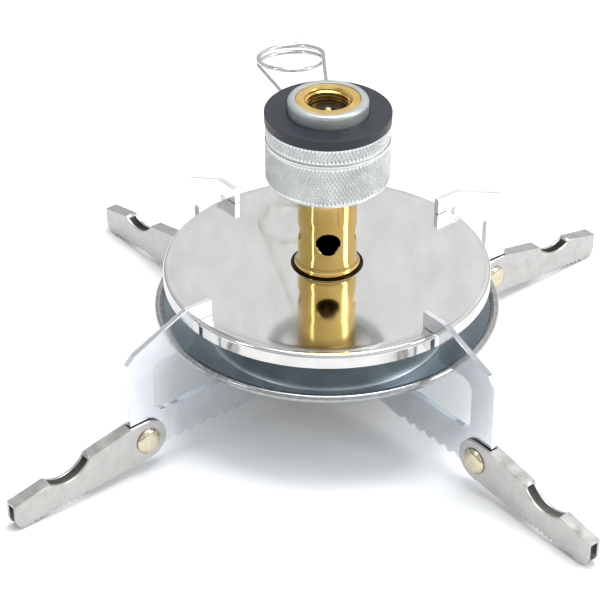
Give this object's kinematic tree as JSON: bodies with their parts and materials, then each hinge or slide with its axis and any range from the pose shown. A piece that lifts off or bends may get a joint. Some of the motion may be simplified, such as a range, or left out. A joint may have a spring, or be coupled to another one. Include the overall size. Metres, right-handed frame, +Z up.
{
  "type": "canister stove",
  "caption": "Compact gas stove standing upside down on its folding pot supports, with a round burner, reflector pan, brass mixing tube, screw-on valve body and wire handle",
  "frame": {"origin": "centre of the bounding box at the surface under the four extension tips, on the axis of the stove", "axes": "+Z runs up the stove axis from the pot supports to the canister socket, so the stove is upside down as it stands; +X and +Y lie in the resting plane, with the valve spindle pointing 9.5 degrees past +Y towards -X"},
  "size_m": [0.1496, 0.1496, 0.0824],
  "materials": {
    "anodised_aluminium": "matte silver anodised, with a knurled outer face",
    "black_rubber": "satin moulded rubber",
    "seal_rubber": "smooth moulded nitrile rubber",
    "turned_brass": "turned, clean",
    "polished_brass_tube": "polished",
    "mirror_stainless": "mirror polished sheet",
    "zinc_plated_bowl": "bluish zinc plated pressing",
    "zinc_plated_arm": "bluish zinc plated plate, nearly mirror bright",
    "satin_stainless_channel": "satin stainless pressing",
    "nickel_rivet": "nickel plated",
    "polished_wire": "polished stainless wire",
    "steel_gauze": "fine woven gauze"
  },
  "bodies": {
    "stove": {"valve_body": "anodised_aluminium", "grip_ring": "black_rubber", "thread_insert": "turned_brass", "inlet_seal": "seal_rubber", "depressor_pin": "turned_brass", "gland_nut": "turned_brass", "gas_jet": "turned_brass", "mixing_tube": "polished_brass_tube", "tube_lock_nut": "turned_brass", "reflector_pan": "mirror_stainless", "burner_bowl": "zinc_plated_bowl", "burner_head": "zinc_plated_bowl", "burner_screen": "steel_gauze", "support_arm_1": "zinc_plated_arm", "pivot_rivet_1": "nickel_rivet", "support_arm_2": "zinc_plated_arm", "pivot_rivet_2": "nickel_rivet", "support_arm_3": "zinc_plated_arm", "pivot_rivet_3": "nickel_rivet", "support_arm_4": "zinc_plated_arm", "pivot_rivet_4": "nickel_rivet"},
    "spindle_seal": {"spindle_oring": "seal_rubber"},
    "spindle": {"valve_spindle": "turned_brass"},
    "handle": {"handle_wire": "polished_wire"},
    "extension_1": {"arm_extension_1": "satin_stainless_channel"},
    "extension_2": {"arm_extension_2": "satin_stainless_channel"},
    "extension_3": {"arm_extension_3": "satin_stainless_channel"},
    "extension_4": {"arm_extension_4": "satin_stainless_channel"}
  },
  "joints": [
    {"name": "extension_1_fold", "type": "hinge", "parent": "stove", "child": "extension_1", "pos_m": [0.04412, 0.03703, 0.0085], "axis": [-0.6428, 0.766, 0], "range_deg": [0, 168]},
    {"name": "extension_2_fold", "type": "hinge", "parent": "stove", "child": "extension_2", "pos_m": [-0.03703, 0.04412, 0.0085], "axis": [-0.766, -0.6428, 0], "range_deg": [0, 168]},
    {"name": "extension_3_fold", "type": "hinge", "parent": "stove", "child": "extension_3", "pos_m": [-0.04412, -0.03703, 0.0085], "axis": [0.6428, -0.766, 0], "range_deg": [0, 168]},
    {"name": "extension_4_fold", "type": "hinge", "parent": "stove", "child": "extension_4", "pos_m": [0.03703, -0.04412, 0.0085], "axis": [0.766, 0.6428, 0], "range_deg": [0, 168]},
    {"name": "spindle_travel", "type": "slide", "parent": "stove", "child": "spindle_seal", "axis": [-0.165, 0.9863, 0], "range_m": [0, 0.001]},
    {"name": "handle_turn", "type": "hinge", "parent": "spindle_seal", "child": "spindle", "pos_m": [0, 0, 0.0678], "axis": [-0.165, 0.9863, 0], "range_deg": [0, 720]},
    {"name": "handle_fold", "type": "hinge", "parent": "spindle", "child": "handle", "pos_m": [-0.00311, 0.01859, 0.0678], "axis": [0.9863, 0.165, 0], "range_deg": [-38, 92]}
  ],
  "couplings": [
    {"joint": "spindle_travel", "follows": "handle_turn", "m_per_rad": 0.000079577}
  ]
}
